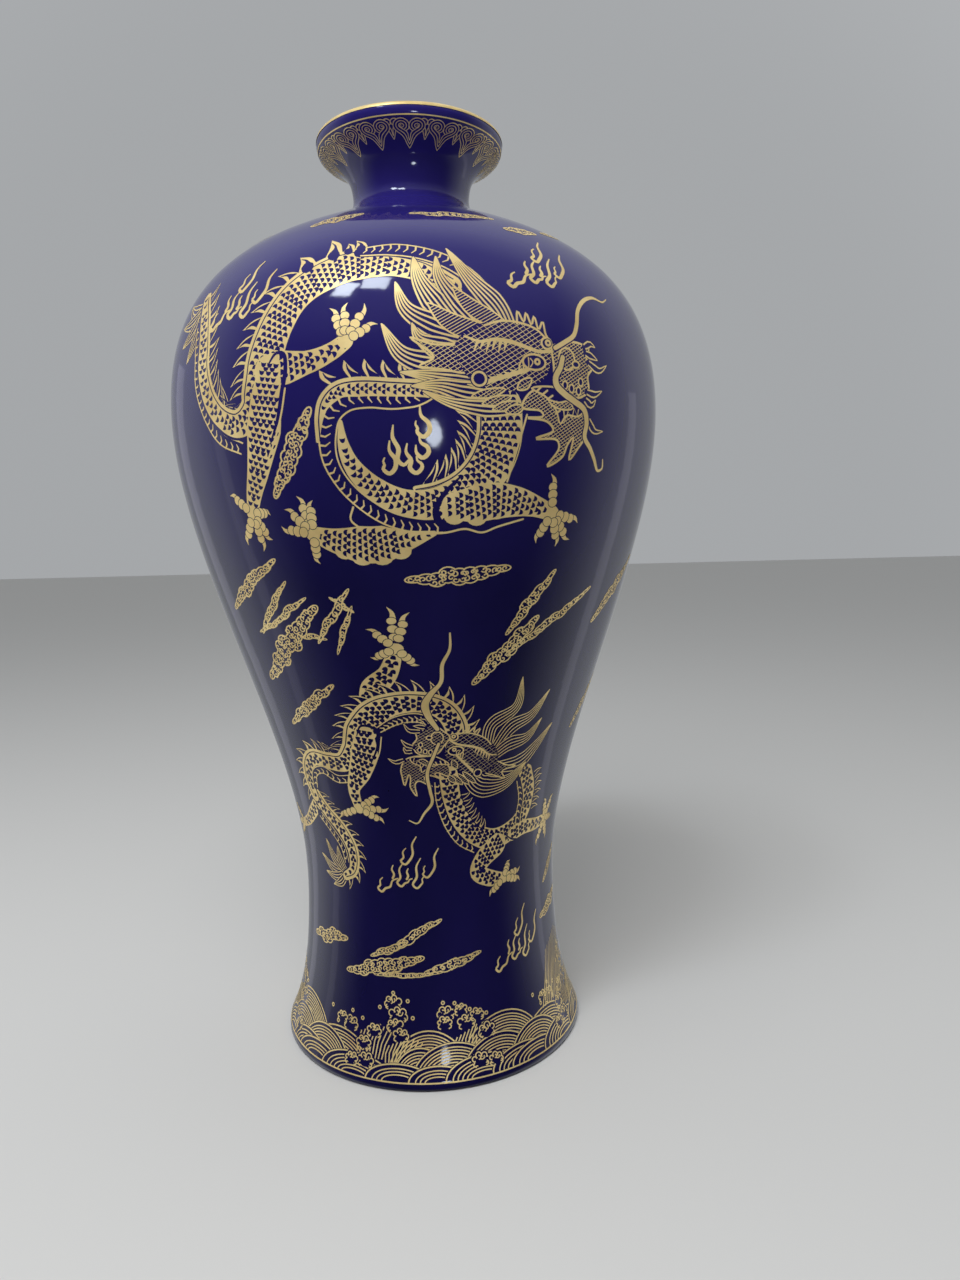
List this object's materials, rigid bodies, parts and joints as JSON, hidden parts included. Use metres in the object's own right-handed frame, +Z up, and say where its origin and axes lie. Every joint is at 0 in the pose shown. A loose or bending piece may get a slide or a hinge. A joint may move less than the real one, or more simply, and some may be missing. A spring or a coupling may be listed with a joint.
{
  "type": "meiping vase",
  "caption": "Tall hollow vase with high round shoulders, a short narrow neck and flaring lip, and a slim body that spreads again to a flat foot ring.",
  "frame": {"origin": "middle of the foot, on the surface that the vase stands on", "axes": "+Z up along the vase's own axis; -Y is the front, which faces the viewer"},
  "size_m": [0.2126, 0.2126, 0.4],
  "materials": {
    "cobalt_glaze": "gloss",
    "gilding": "satin",
    "bare_foot": "matte"
  },
  "bodies": {
    "root": {"vase": "cobalt_glaze"}
  },
  "joints": []
}
